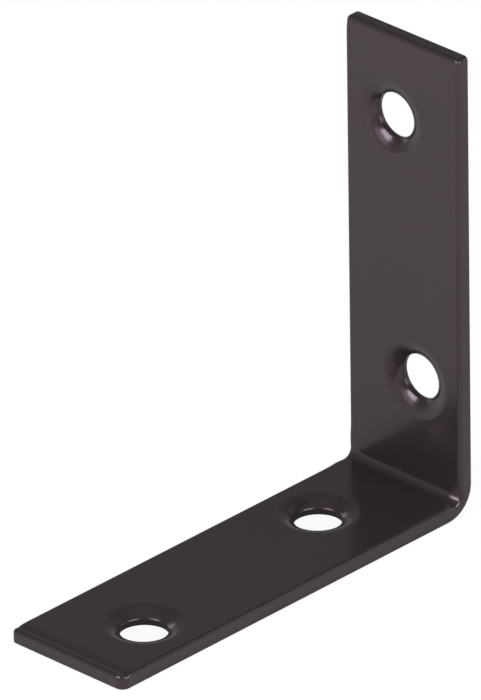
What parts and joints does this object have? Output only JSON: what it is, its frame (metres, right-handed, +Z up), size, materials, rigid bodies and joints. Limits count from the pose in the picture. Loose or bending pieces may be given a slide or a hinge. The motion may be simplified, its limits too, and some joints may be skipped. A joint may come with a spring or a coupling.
{
  "type": "chair corner bracket",
  "caption": "Steel strip folded to a right angle, with staggered countersunk screw holes in each leg and a dark brown satin coat.",
  "frame": {"origin": "middle of the footprint, on the surface that the horizontal leg rests on", "axes": "+Z up, +X along the horizontal leg away from the fold, +Y across the strip"},
  "size_m": [0.0596, 0.018, 0.0604],
  "materials": {
    "brown_coat": "satin"
  },
  "bodies": {
    "root": {"corner_bracket": "brown_coat"}
  },
  "joints": []
}
